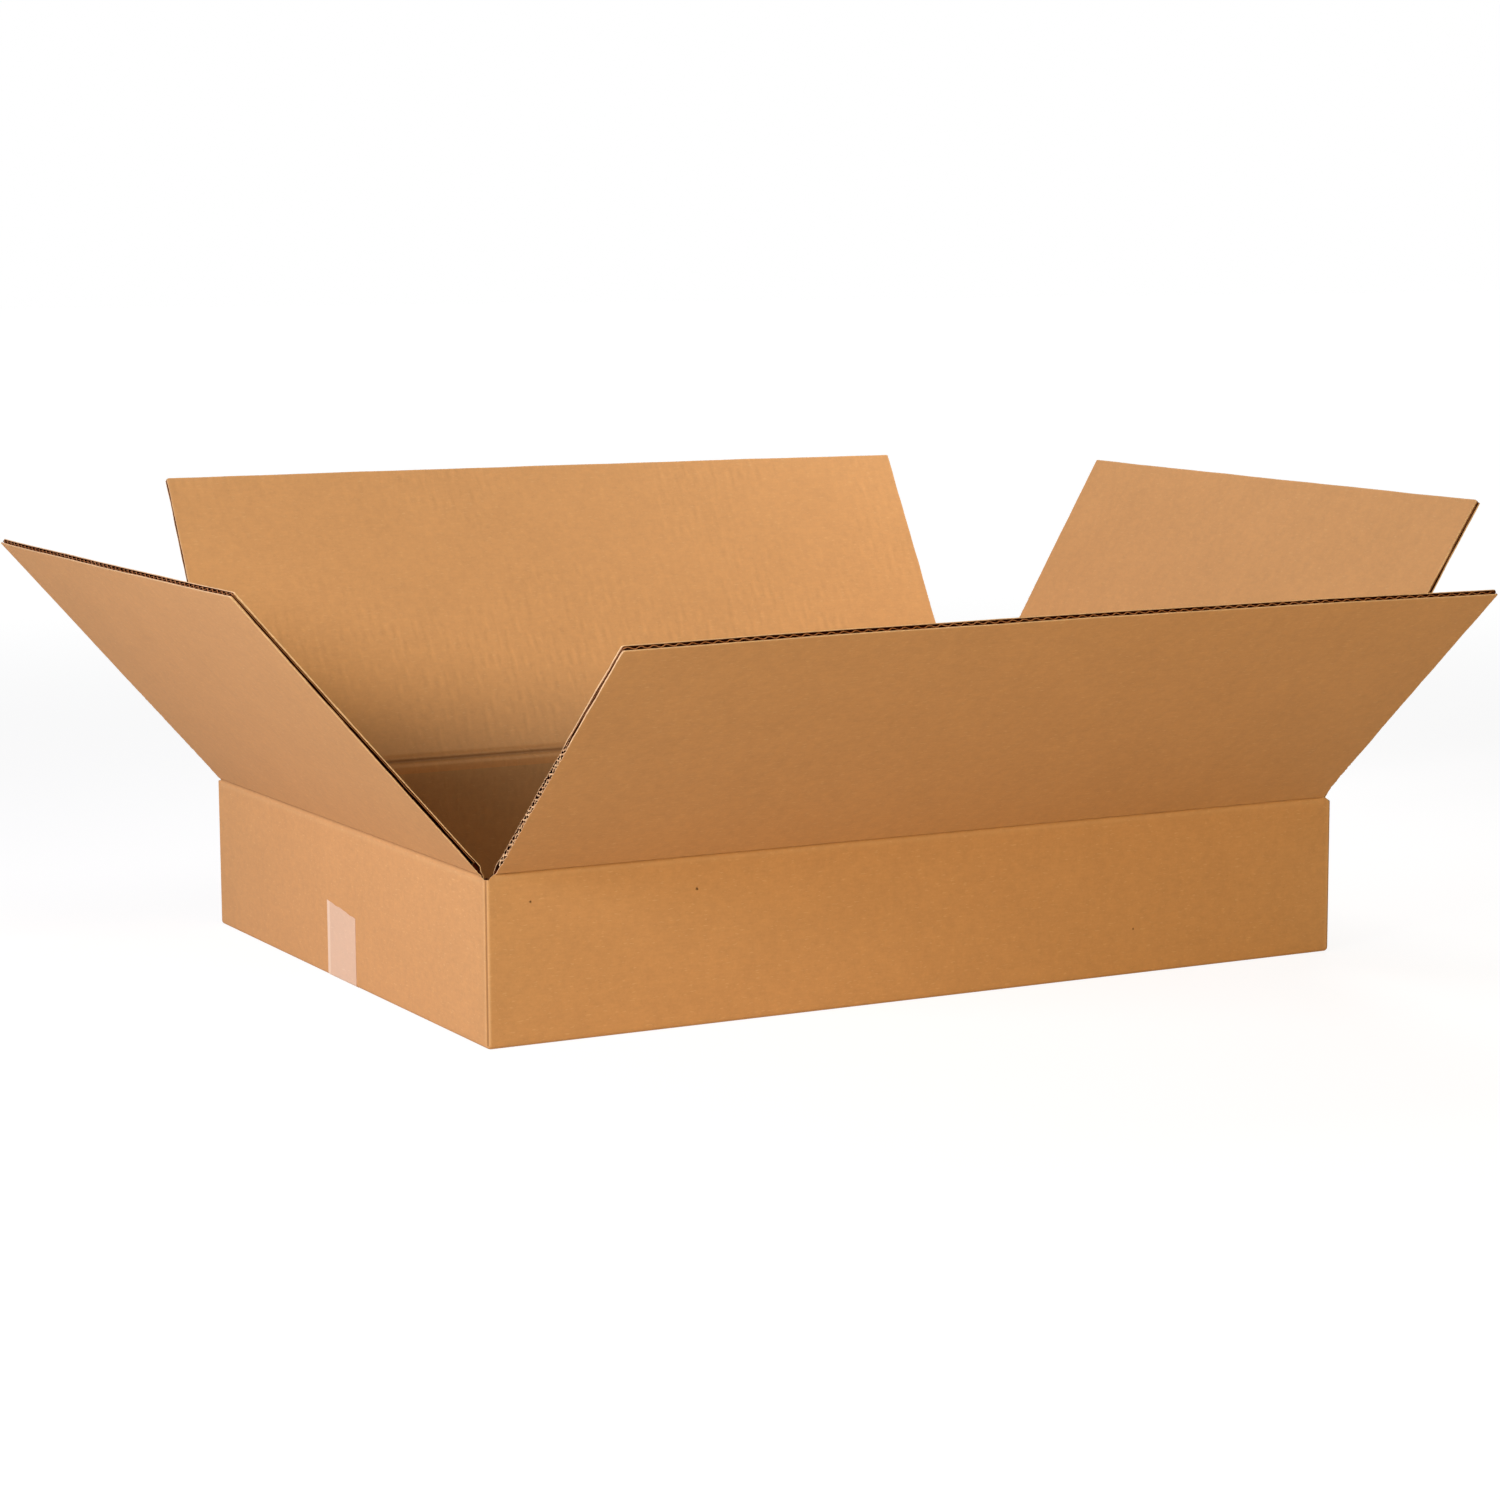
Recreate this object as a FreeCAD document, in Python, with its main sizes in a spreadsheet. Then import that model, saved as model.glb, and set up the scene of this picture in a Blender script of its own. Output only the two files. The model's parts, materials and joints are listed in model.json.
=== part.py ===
import FreeCAD, Part
import os

import Sketcher

# Open corrugated cardboard box of the regular slotted kind, standing with its four top flaps open.
# Millimetres. The origin is at the middle of the base, on the surface that the box stands on.
# +X runs along the box, +Y across it and +Z up.
# The front wall faces -Y, the back wall +Y, the left end -X and the right end +X.

# Driving sizes in millimetres and degrees: word, value, what it is
SIZES = [
    ("inner_length", 609.6, "length of the room inside"),
    ("inner_width", 457.2, "width of the room inside"),
    ("board", 4.0, "thickness of the corrugated board"),
    ("crease_height", 106.0, "height of the front and back flaps' creases above the floor"),
    ("nest_gap", 0.3, "room between closed end flaps and the long flaps above them"),
    ("meeting_gap", 1.0, "gap where two flaps meet over the middle of the box"),
    ("slot_width", 9.5, "slot between two flaps, cut in the flat sheet"),
    ("slot_below_crease", 1.0, "how far a corner slot reaches below the end flaps' creases"),
    ("crease_end_room", 0.5, "how much further than its flap a crease is crushed at each end"),
    ("corner_radius", 3.0, "outside radius of the four upright corner folds"),
    ("fold_radius", 2.5, "outside radius of the folds round the bottom"),
    ("crease_gap", 0.25, "distance from a crease's axis to the crushed board on either side"),
    ("inward_turn", 90.0, "turn inward from upright that the creases leave room for"),
    ("outward_turn", 118.0, "turn outward from upright that the long creases leave room for"),
    ("front_angle", 48.5, "front flap, outward from upright"),
    ("back_angle", 28.5, "back flap, outward from upright"),
    ("left_angle", 41.5, "left flap, outward from upright"),
    ("right_angle", 33.0, "right flap, outward from upright"),
    ("fold_strip", 5.0, "width of the end walls' folded edge, seen from below"),
    ("flute_pitch", 7.96, "one wave of the corrugated middle sheet"),
    ("liner", 0.4, "thickness of the flat outer sheets"),
    ("medium", 0.3, "thickness of the wavy middle sheet"),
    ("wave_crest", 1.7, "flat crest of a wave, where it is glued to a flat sheet"),
    ("crushed_root", 9.0, "board beside a crease in which the flutes are crushed shut"),
    ("tape_width", 49.0, "width of the sealing tape"),
    ("tape_thickness", 0.25, "thickness of the sealing tape"),
    ("tape_off_floor", 0.1, "how far the tape lies above the floor, pressed into the board"),
    ("tape_fold_radius", 1.8, "inside radius of the tape's folds"),
    ("tape_rise_back", 51.0, "height of the tape's ends on the side towards the back wall"),
    ("tape_rise_front", 46.0, "height of the tape's ends on the side towards the front wall"),
    ("tape_bed_margin", 0.5, "pressed board on each side of the tape"),
    ("tab_width", 35.0, "width of the glue tab inside the back wall"),
    ("tab_thickness", 3.2, "thickness of the glue tab, slightly crushed"),
    ("tab_margin", 6.0, "glue tab's ends to the crease and to the bottom"),
    ("tab_slope", 7.0, "how far the glue tab's free edge is cut back at each end"),
]

# Sizes worked out from the driving ones
DERIVED = [
    ("outer_length", "inner_length + 2 * board"),
    ("outer_width", "inner_width + 2 * board"),
    ("slot_inset", "board / 2 + slot_width / 2"),
    ("outer_drop", "board / 2 * tan(outward_turn / 2)"),
    ("inner_drop", "board / 2 * tan(inward_turn / 2)"),
    ("end_drop", "board * tan(inward_turn / 2)"),
    ("end_crease_height", "crease_height - board / 2 - nest_gap"),
    ("slot_floor", "end_crease_height - slot_below_crease"),
    ("flap_reach", "(outer_width - board - meeting_gap) / 2"),
    ("long_flap_width", "outer_length - 2 * slot_inset"),
    ("end_flap_width", "outer_width - 2 * slot_inset"),
    ("flute_narrow", "wave_crest"),
    ("flute_wide", "flute_pitch - wave_crest - 0.9 * medium"),
    ("flute_depth", "flap_reach - crushed_root"),
    ("floor_top", "2 * board"),
    ("tape_bed", "tape_off_floor + tape_thickness"),
    ("tape_outer_length", "outer_length + 2 * tape_thickness"),
]

doc = FreeCAD.newDocument("open_box")
sheet = doc.addObject("Spreadsheet::Sheet", "Sizes")


def fill_sheet():
    """One row a size: its word, its value and what it is."""
    row = 1
    for word, value, meaning in SIZES:
        sheet.set(f"A{row}", word)
        sheet.set(f"B{row}", str(value))
        sheet.setAlias(f"B{row}", word)
        sheet.set(f"C{row}", meaning)
        row += 1
    for word, formula in DERIVED:
        sheet.set(f"A{row}", word)
        sheet.set(f"B{row}", "=" + formula)
        sheet.setAlias(f"B{row}", word)
        row += 1
    doc.recompute()


def sized(formula):
    """The formula with each size's word turned into a reference to the sheet."""
    words = sorted([size[0] for size in SIZES + DERIVED], key=len, reverse=True)
    marked = formula
    for index, word in enumerate(words):
        marked = marked.replace(word, f"<{index}>")
    for index, word in enumerate(words):
        marked = marked.replace(f"<{index}>", "Sizes." + word)
    return marked


def new_body(name):
    body = doc.addObject("PartDesign::Body", name)
    body.Label = name
    return body


def origin_part(body, role):
    return [feature for feature in body.Origin.OriginFeatures if feature.Role == role][0]


def add_outline(sketch, corners):
    """A closed outline of straight lines, each corner held by two sizes from the origin."""
    points = []
    for across, up in corners:
        point = FreeCAD.Vector(sketch.evalExpression(sized(across)), sketch.evalExpression(sized(up)), 0)
        points.append(point)
    count = len(points)
    lines = [Part.LineSegment(points[k], points[(k + 1) % count]) for k in range(count)]
    first = sketch.addGeometry(lines, False)[0]
    for k in range(count):
        sketch.addConstraint(Sketcher.Constraint("Coincident", first + k, 2, first + (k + 1) % count, 1))
    for k in range(count):
        for direction, value, formula in (("DistanceX", points[k].x, corners[k][0]),
                                          ("DistanceY", points[k].y, corners[k][1])):
            rule = Sketcher.Constraint(direction, -1, 1, first + k, 1, float(value))
            number = sketch.addConstraint(rule)
            sketch.setExpression(f"Constraints[{number}]", sized(formula))


def new_sketch(body, name, plane, outlines, lift="0"):
    """A sketch on one of the body's own planes, moved along its normal by lift."""
    sketch = body.newObject("Sketcher::SketchObject", name)
    sketch.AttachmentSupport = [(origin_part(body, plane), "")]
    sketch.MapMode = "FlatFace"
    sketch.setExpression("AttachmentOffset.Base.z", sized(lift))
    for corners in outlines:
        add_outline(sketch, corners)
    doc.recompute()
    return sketch


def pad(body, name, sketch, length, both_ways=False):
    feature = body.newObject("PartDesign::Pad", name)
    feature.Profile = sketch
    feature.Midplane = both_ways
    feature.setExpression("Length", sized(length))
    doc.recompute()
    return feature


def pocket(body, name, sketch, length, both_ways=False, along_normal=False):
    """Cuts the sketch's outlines from the body, and makes sure that they took something away."""
    before = body.Shape.Volume
    feature = body.newObject("PartDesign::Pocket", name)
    feature.Profile = sketch
    feature.Midplane = both_ways
    feature.Reversed = along_normal
    feature.setExpression("Length", sized(length))
    doc.recompute()
    if body.Shape.Volume >= before:
        raise RuntimeError(f"{body.Label}: {name} cuts nothing")
    return feature


def fillet(body, name, base, wanted, radius):
    """Rounds the base feature's edges that wanted picks."""
    feature = body.newObject("PartDesign::Fillet", name)
    edges = [f"Edge{k + 1}" for k, edge in enumerate(base.Shape.Edges) if wanted(edge)]
    feature.Base = (base, edges)
    feature.setExpression("Radius", sized(radius))
    doc.recompute()
    return feature


def rectangle(half_across, half_up):
    return [(f"-({half_across})", f"-({half_up})"), (half_across, f"-({half_up})"),
            (half_across, half_up), (f"-({half_across})", half_up)]


def mirrored(corners):
    """The same outline on the other side of the sketch's upright axis."""
    return [(f"-({across})", up) for across, up in reversed(corners)]


def upright(edge):
    return abs(edge.BoundBox.ZLength) > 1 and edge.BoundBox.XLength + edge.BoundBox.YLength < 1e-3


def on_floor(edge):
    return edge.BoundBox.ZMax < 1e-3


def make_box_body():
    """Four walls, the folded bottom flaps and the glue tab: one sheet, folded and glued."""
    body = new_body("box_body")

    # Outside form, with its upright corners and the folds round the bottom rounded
    outline = new_sketch(body, "outer_outline", "XY_Plane", [rectangle("outer_length / 2", "outer_width / 2")])
    block = pad(body, "outer_form", outline, "crease_height - crease_gap")
    corners = fillet(body, "corner_folds", block, upright, "corner_radius")
    fillet(body, "bottom_folds", corners, on_floor, "fold_radius")

    # Room inside, down to the two layers of bottom flaps
    room = new_sketch(body, "room_outline", "XY_Plane", [rectangle("inner_length / 2", "inner_width / 2")],
                      "crease_height")
    pocket(body, "room", room, "crease_height - floor_top")

    # The end walls' bottom flaps lie on the long ones: they leave the middle free, and a slit at each side
    flap_end = "outer_length / 2 - flap_reach"
    slit = "outer_width / 2 - slot_inset"
    step = new_sketch(body, "bottom_step_outline", "XY_Plane", [[
        ("-inner_length / 2", "-inner_width / 2"), ("inner_length / 2", "-inner_width / 2"),
        ("inner_length / 2", f"-({slit})"), (flap_end, f"-({slit})"),
        (flap_end, slit), ("inner_length / 2", slit),
        ("inner_length / 2", "inner_width / 2"), ("-inner_length / 2", "inner_width / 2"),
        ("-inner_length / 2", slit), (f"-({flap_end})", slit),
        (f"-({flap_end})", f"-({slit})"), ("-inner_length / 2", f"-({slit})"),
    ]], "floor_top")
    pocket(body, "bottom_steps", step, "board")

    # Long walls end in a crushed ridge under the crease, level with the middle of the board
    ridge_top = "crease_height - crease_gap"
    outer_bevel = [("outer_width / 2", ridge_top), ("outer_width / 2 - board / 2", ridge_top),
                   ("outer_width / 2", f"{ridge_top} - outer_drop")]
    inner_bevel = [("outer_width / 2 - board / 2", ridge_top), ("outer_width / 2 - board", ridge_top),
                   ("outer_width / 2 - board", f"{ridge_top} - inner_drop")]
    bevels = [outer_bevel, inner_bevel, mirrored(outer_bevel), mirrored(inner_bevel)]
    long_crease = new_sketch(body, "long_crease_outline", "YZ_Plane", bevels)
    pocket(body, "long_creases", long_crease, "long_flap_width + 2 * crease_end_room", both_ways=True)

    # End walls are lower, and their crease lies in the outer sheet
    end_top = "end_crease_height - crease_gap"
    end_cut = [("outer_length / 2", end_top), ("outer_length / 2", "crease_height"),
               ("outer_length / 2 - board", "crease_height"),
               ("outer_length / 2 - board", f"{end_top} - end_drop")]
    end_crease = new_sketch(body, "end_crease_outline", "XZ_Plane", [end_cut, mirrored(end_cut)])
    pocket(body, "end_creases", end_crease, "end_flap_width + 2 * crease_end_room", both_ways=True)

    # Corner slots between the flaps end just below the creases
    slot = [("outer_length / 2 - slot_inset", "outer_width / 2 - slot_inset"),
            ("outer_length / 2", "outer_width / 2 - slot_inset"),
            ("outer_length / 2", "outer_width / 2"),
            ("outer_length / 2 - slot_inset", "outer_width / 2")]
    across_slot = [(across, f"-({up})") for across, up in reversed(slot)]
    slots = new_sketch(body, "corner_slot_outline", "XY_Plane",
                       [slot, mirrored(slot), across_slot, mirrored(across_slot)], "crease_height")
    pocket(body, "corner_slots", slots, "crease_height - slot_floor")

    # Seen from below: the long bottom flaps' meeting line, and their ends inside the end walls' folds
    seam = "meeting_gap / 2"
    flap_edge = "outer_length / 2 - slot_inset"
    fold_edge = "outer_length / 2 - fold_strip"
    side_edge = "outer_width / 2 - fold_strip"
    gaps = new_sketch(body, "bottom_gap_outline", "XY_Plane", [[
        (f"-({fold_edge})", f"-({side_edge})"), (f"-({flap_edge})", f"-({side_edge})"),
        (f"-({flap_edge})", f"-({seam})"), (flap_edge, f"-({seam})"),
        (flap_edge, f"-({side_edge})"), (fold_edge, f"-({side_edge})"),
        (fold_edge, side_edge), (flap_edge, side_edge),
        (flap_edge, seam), (f"-({flap_edge})", seam),
        (f"-({flap_edge})", side_edge), (f"-({fold_edge})", side_edge),
    ]])
    pocket(body, "bottom_gaps", gaps, "board", along_normal=True)

    # The tape is pressed into the board, so that the box stands on the board
    bed = new_sketch(body, "tape_bed_outline", "XY_Plane",
                     [rectangle("outer_length / 2", "tape_width / 2 + tape_bed_margin")])
    pocket(body, "tape_bed", bed, "tape_bed", along_normal=True)

    # Glue tab of the right end wall, glued inside the back wall
    tab_root = "inner_length / 2"
    tab_edge = "inner_length / 2 - tab_width"
    tab_low = "floor_top + tab_margin"
    tab_high = "end_crease_height - end_drop - tab_margin"
    tab = new_sketch(body, "glue_tab_outline", "XZ_Plane", [[
        (tab_root, tab_low), (tab_root, tab_high),
        (tab_edge, f"{tab_high} - tab_slope"), (tab_edge, f"{tab_low} + tab_slope"),
    ]], "-inner_width / 2")
    pad(body, "glue_tab", tab, "tab_thickness")
    return body


def make_flap(name, width, outer_face, place):
    """One top flap, drawn upright over its crease with its outside towards -Y, and then turned open.

    outer_face is where the outside lies from the crease's axis: half a board out, or on the axis itself.
    place is the expression of the flap's Placement.
    """
    body = new_body(name)
    inner_face = f"{outer_face} + board"
    if outer_face == "0":
        root = [("0", "crease_gap"), (inner_face, "crease_gap + end_drop")]
    else:
        root = [(outer_face, "crease_gap + outer_drop"), ("0", "crease_gap"),
                (inner_face, "crease_gap + inner_drop")]
    side = new_sketch(body, name + "_side", "YZ_Plane",
                      [root + [(inner_face, "flap_reach"), (outer_face, "flap_reach")]])
    pad(body, name + "_board", side, width, both_ways=True)

    # Two flutes of one wave: one open to the outer flat sheet and one to the inner
    first = f"-(floor({width} / flute_pitch) - 2) / 2 * flute_pitch"
    outer_sheet = f"{outer_face} + liner"
    inner_sheet = f"{inner_face} - liner"
    outer_flute = [(f"{first} - flute_wide / 2", outer_sheet), (f"{first} + flute_wide / 2", outer_sheet),
                   (f"{first} + flute_narrow / 2", f"{inner_sheet} - medium"),
                   (f"{first} - flute_narrow / 2", f"{inner_sheet} - medium")]
    middle = f"{first} + flute_pitch / 2"
    inner_flute = [(f"{middle} - flute_narrow / 2", f"{outer_sheet} + medium"),
                   (f"{middle} + flute_narrow / 2", f"{outer_sheet} + medium"),
                   (f"{middle} + flute_wide / 2", inner_sheet), (f"{middle} - flute_wide / 2", inner_sheet)]
    wave = new_sketch(body, name + "_wave", "XY_Plane", [outer_flute, inner_flute], "flap_reach")
    flutes = pocket(body, name + "_flute", wave, "flute_depth")

    # The wave is repeated along the whole free edge
    waves = body.newObject("PartDesign::LinearPattern", name + "_flutes")
    waves.Originals = [flutes]
    waves.Direction = (origin_part(body, "X_Axis"), [""])
    waves.setExpression("Length", sized(f"(floor({width} / flute_pitch) - 2) * flute_pitch"))
    waves.setExpression("Occurrences", sized(f"floor({width} / flute_pitch) - 1"))
    body.Tip = waves
    body.setExpression("Placement", sized(place))
    doc.recompute()
    return body


def make_flaps():
    """The long flaps turn about the middle of the board, the end flaps about its outer sheet."""
    long_axis = "outer_width / 2 - board / 2"
    end_axis = "outer_length / 2"
    return [
        make_flap("front_flap", "long_flap_width", "-board / 2",
                  f"placement(vector(0; -({long_axis}); crease_height); rotationx(front_angle))"),
        make_flap("back_flap", "long_flap_width", "-board / 2",
                  f"placement(vector(0; {long_axis}; crease_height); rotationz(180) * rotationx(back_angle))"),
        make_flap("left_flap", "end_flap_width", "0",
                  f"placement(vector(-({end_axis}); 0; end_crease_height); "
                  "rotationz(-90) * rotationx(left_angle))"),
        make_flap("right_flap", "end_flap_width", "0",
                  f"placement(vector({end_axis}; 0; end_crease_height); "
                  "rotationz(90) * rotationx(right_angle))"),
    ]


def make_sealing_tape():
    """One strip of tape along the bottom seam, folded up both end walls, its ends cut at a slant."""
    body = new_body("sealing_tape")
    top = "tape_rise_back + tape_rise_front"
    wall = "outer_length / 2"
    skin = "tape_outer_length / 2"
    strip = new_sketch(body, "tape_profile", "XZ_Plane", [[
        (f"-({skin})", "tape_off_floor"), (skin, "tape_off_floor"), (skin, top), (wall, top),
        (wall, "tape_bed"), (f"-({wall})", "tape_bed"), (f"-({wall})", top), (f"-({skin})", top),
    ]])
    run = pad(body, "tape_strip", strip, "tape_width", both_ways=True)
    skin_place = sheet.tape_outer_length / 2
    wall_place = sheet.outer_length / 2

    def outer_fold(edge):
        return on_line(edge, skin_place, sheet.tape_off_floor)

    def inner_fold(edge):
        return on_line(edge, wall_place, sheet.tape_bed)

    inner = fillet(body, "tape_inner_folds", run, inner_fold, "tape_fold_radius")
    fillet(body, "tape_outer_folds", inner, outer_fold, "tape_fold_radius + tape_thickness")

    # Slanted ends: everything above the slant is cut away
    slant = new_sketch(body, "tape_end_outline", "YZ_Plane", [[
        ("-tape_width / 2", "tape_rise_front"), ("tape_width / 2", "tape_rise_back"),
        ("tape_width / 2", f"{top} + tape_rise_back"), ("-tape_width / 2", f"{top} + tape_rise_back"),
    ]])
    pocket(body, "tape_ends", slant, "2 * tape_outer_length", both_ways=True)
    return body


def on_line(edge, across, height):
    """Is the edge a straight one that runs across the tape, at this distance and height?"""
    box = edge.BoundBox
    middle = box.Center
    return (box.YLength > 1 and box.XLength + box.ZLength < 1e-3
            and abs(abs(middle.x) - across) < 1e-3 and abs(middle.z - height) < 1e-3)


def check_model(bodies):
    """No object failed, and each sub-part is one valid solid."""
    for thing in doc.Objects:
        if "Invalid" in thing.State or "Error" in thing.State:
            raise RuntimeError(f"{thing.Label} failed: {thing.State}")
    for body in bodies:
        shape = body.Shape
        if shape.isNull() or not shape.isValid() or len(shape.Solids) != 1:
            raise RuntimeError(f"{body.Label} is not one valid solid")


def write_parts(bodies):
    os.makedirs("parts", exist_ok=True)
    for body in bodies:
        body.Shape.exportStep(f"parts/{body.Label}.step")
        box = body.Shape.BoundBox
        print(f"{body.Label}: {body.Shape.Volume / 1000:.1f} cm3, "
              f"x {box.XMin:.1f} to {box.XMax:.1f}, y {box.YMin:.1f} to {box.YMax:.1f}, "
              f"z {box.ZMin:.2f} to {box.ZMax:.1f}, {len(body.Shape.Faces)} faces")


fill_sheet()
parts = [make_box_body()] + make_flaps() + [make_sealing_tape()]
doc.recompute()
check_model(parts)
write_parts(parts)
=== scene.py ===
import json
import math

import bmesh
import bpy
import numpy as np
from mathutils import Matrix, Vector


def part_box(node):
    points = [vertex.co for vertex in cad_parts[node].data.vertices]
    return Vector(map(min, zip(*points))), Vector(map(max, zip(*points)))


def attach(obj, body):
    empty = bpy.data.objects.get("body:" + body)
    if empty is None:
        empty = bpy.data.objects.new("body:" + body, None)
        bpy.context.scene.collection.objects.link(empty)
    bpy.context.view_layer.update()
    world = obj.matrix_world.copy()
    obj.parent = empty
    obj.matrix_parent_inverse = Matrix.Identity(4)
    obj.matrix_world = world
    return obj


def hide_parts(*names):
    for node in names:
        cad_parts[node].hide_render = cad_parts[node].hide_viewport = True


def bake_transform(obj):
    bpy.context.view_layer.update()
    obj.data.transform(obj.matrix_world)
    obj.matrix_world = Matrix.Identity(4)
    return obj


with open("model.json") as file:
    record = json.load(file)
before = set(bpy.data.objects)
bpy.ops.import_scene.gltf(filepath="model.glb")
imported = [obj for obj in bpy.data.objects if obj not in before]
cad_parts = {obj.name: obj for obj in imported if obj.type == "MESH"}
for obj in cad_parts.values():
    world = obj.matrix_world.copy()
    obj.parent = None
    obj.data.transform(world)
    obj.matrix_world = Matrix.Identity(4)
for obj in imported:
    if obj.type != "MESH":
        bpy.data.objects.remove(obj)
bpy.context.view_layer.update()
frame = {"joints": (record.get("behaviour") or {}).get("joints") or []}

# The looks of an open corrugated cardboard box. Metres, in the solids' own frame.
MM = 0.001
UP = np.array([0.0, 0.0, 1.0])

# Places that come from the frame
BODY_HIGH = np.array(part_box("box_body")[1])
TAPE_HIGH = np.array(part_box("sealing_tape")[1])
HALF_LENGTH = BODY_HIGH[0]
HALF_WIDTH = BODY_HIGH[1]

# The board: a wavy middle sheet between two flat ones
BOARD = 4.0 * MM
LINER = 0.4 * MM
MEDIUM = 0.3 * MM
PITCH = 7.96 * MM
STEPS_A_WAVE = 6
RELIEF_OUT = 0.002 * MM  # how far the waves show through the outside sheet
RELIEF_IN = 0.004 * MM  # and through the inside one
GLUE_GAP = 0.02 * MM  # keeps the wave's crests just off the flat sheets
CRUSHED_EXTRA = 0.8 * MM  # how much thicker the middle sheet's torn fibres stand at a crushed edge
BURR_END = 0.33 * MM  # how much thicker the sheets' cut edges look, from fibres that the knife pulled out
BURR_SIDE = (0.25 * MM, 0.8 * MM)  # the same beside a slot, at the crease and at the free edge
BURR_WIDTH = 1.5 * MM  # how far in from a cut edge that goes
WAVE_BURR = 0.45 * MM  # how much thicker the middle sheet's cut end looks
WAVE_BACK = 0.45 * MM  # how far that end lies back in places
ROUGHNESS = 0.38 * MM  # how far the side edges are frayed
FRAY_END = 0.10 * MM  # and the free edges
FRAYS = 4096  # random numbers for the frayed edges
SCUFF = 0.5  # how much paler the faces are just beside a cut edge
TOOTH = 4.8 * MM  # length of a tooth where the knife left the middle sheet torn to and fro

# The box
MEETING_GAP = 1.0 * MM  # between two closed long flaps
FLAP_REACH = HALF_WIDTH - BOARD / 2 - MEETING_GAP / 2
OPEN_LIMIT = 115.0  # degrees outward from upright, the upper limit of every crease
SLOT_INSET = 6.75 * MM  # from a corner of the box to the side edge of a flap
SLOT_FLOOR = 102.7 * MM
CORNER_RADIUS = 3.0 * MM
FOLD_RADIUS = 2.5 * MM  # where the walls turn under the box
FOLD_STRIP = 5.0 * MM  # how far the walls' piece goes in there
TAPE_BED = 0.35 * MM  # how high the board lies over the tape
TAPE_BED_HALF = 25.0 * MM

# The creases
SEAM_HEIGHT = 96.7 * MM  # where the walls end and the creased strips begin
CREASE_UP = 9.0 * MM  # where the creased strips end on the flaps
BEND_HALF = 2.2 * MM  # half the width of the bend at rest
TURN_HALF = 5.0 * MM  # half the span of the strip about the crease's axis

# Slight warps of the open flaps, the twist in degrees. Long flaps only warp outward and end flaps inward,
# so they still close.
WARPS = {
    "flap_front": {"twist": 0.4, "twist_end": -1, "bow": 1.6 * MM, "lean": 0.3 * MM, "waves": 0.5 * MM},
    "flap_back": {"twist": 0.9, "twist_end": -1, "bow": 0.3 * MM, "lean": 1.7 * MM, "waves": 0.6 * MM},
    "flap_left": {"twist": -0.1, "twist_end": 1, "bow": -0.5 * MM, "lean": 0.6 * MM, "waves": -0.5 * MM},
    "flap_right": {"twist": -2.6, "twist_end": 1, "bow": -0.4 * MM, "lean": -2.5 * MM, "waves": -0.5 * MM},
}

# Camera, as the photograph was taken
CAMERA_PLACE = Vector((-1.1392, -2.1271, 0.4665))
CAMERA_YAW = 28.0
CAMERA_PITCH = 7.934
CAMERA_ROLL = -0.293
FOCAL_SHARE = 3555.6 / 1500  # focal length over the frame's width
SENSOR_WIDTH = 36.0


def smooth(share):
    share = np.clip(share, 0.0, 1.0)
    return share * share * (3 - 2 * share)


def wander(place, period, seed):
    """A smooth random curve between about -1 and 1 along a line."""
    phases = np.random.default_rng(seed).uniform(0, math.tau, 3)
    total = np.sin(math.tau * place / period + phases[0])
    total = total + np.sin(math.tau * place / (0.57 * period) + phases[1])
    return (total + np.sin(math.tau * place / (1.83 * period) + phases[2])) / 2.4


class Sheets:
    """Gathers grids of points into one mesh. Each point keeps its place on the flat sheet and its tone."""

    def __init__(self):
        self.points, self.flats, self.tones, self.faces, self.looks = [], [], [], [], []
        self.count = 0

    def add_points(self, points, flat, tone=0.0):
        rows, columns = points.shape[:2]
        self.points.append(points.reshape(-1, 3))
        self.flats.append(flat.reshape(-1, 3))
        self.tones.append(np.broadcast_to(tone, (rows, columns)).reshape(-1))
        numbers = self.count + np.arange(rows * columns).reshape(rows, columns)
        self.count += rows * columns
        return numbers

    def add_faces(self, numbers, look):
        """Quads over a grid of point numbers."""
        corners = (numbers[:-1, :-1], numbers[:-1, 1:], numbers[1:, 1:], numbers[1:, :-1])
        quads = np.stack(corners, -1).reshape(-1, 4).tolist()
        self.faces += quads
        self.looks += [look] * len(quads)

    def add_grid(self, points, flat, look, tone=0.0):
        numbers = self.add_points(points, flat, tone)
        self.add_faces(numbers, look)
        return numbers

    def add_polygon(self, numbers, look):
        self.faces.append([int(number) for number in numbers])
        self.looks.append(look)

    def build(self, name, materials):
        mesh = bpy.data.meshes.new(name)
        mesh.from_pydata(np.concatenate(self.points).tolist(), [], self.faces)
        mesh.polygons.foreach_set("material_index", self.looks)
        mesh.polygons.foreach_set("use_smooth", [True] * len(self.faces))
        flat = mesh.attributes.new("sheet", "FLOAT_VECTOR", "POINT")
        flat.data.foreach_set("vector", np.concatenate(self.flats).astype(np.float32).ravel())
        tone = mesh.attributes.new("tone", "FLOAT", "POINT")
        tone.data.foreach_set("value", np.concatenate(self.tones).astype(np.float32))
        work = bmesh.new()
        work.from_mesh(mesh)
        bmesh.ops.remove_doubles(work, verts=work.verts, dist=0.002 * MM)
        bmesh.ops.dissolve_degenerate(work, dist=0.002 * MM, edges=work.edges)
        bmesh.ops.recalc_face_normals(work, faces=work.faces)
        work.to_mesh(mesh)
        work.free()
        mesh.set_sharp_from_angle(angle=math.radians(40))
        for material in materials:
            mesh.materials.append(material)
        made = bpy.data.objects.new(name, mesh)
        bpy.context.scene.collection.objects.link(made)
        return made


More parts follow.
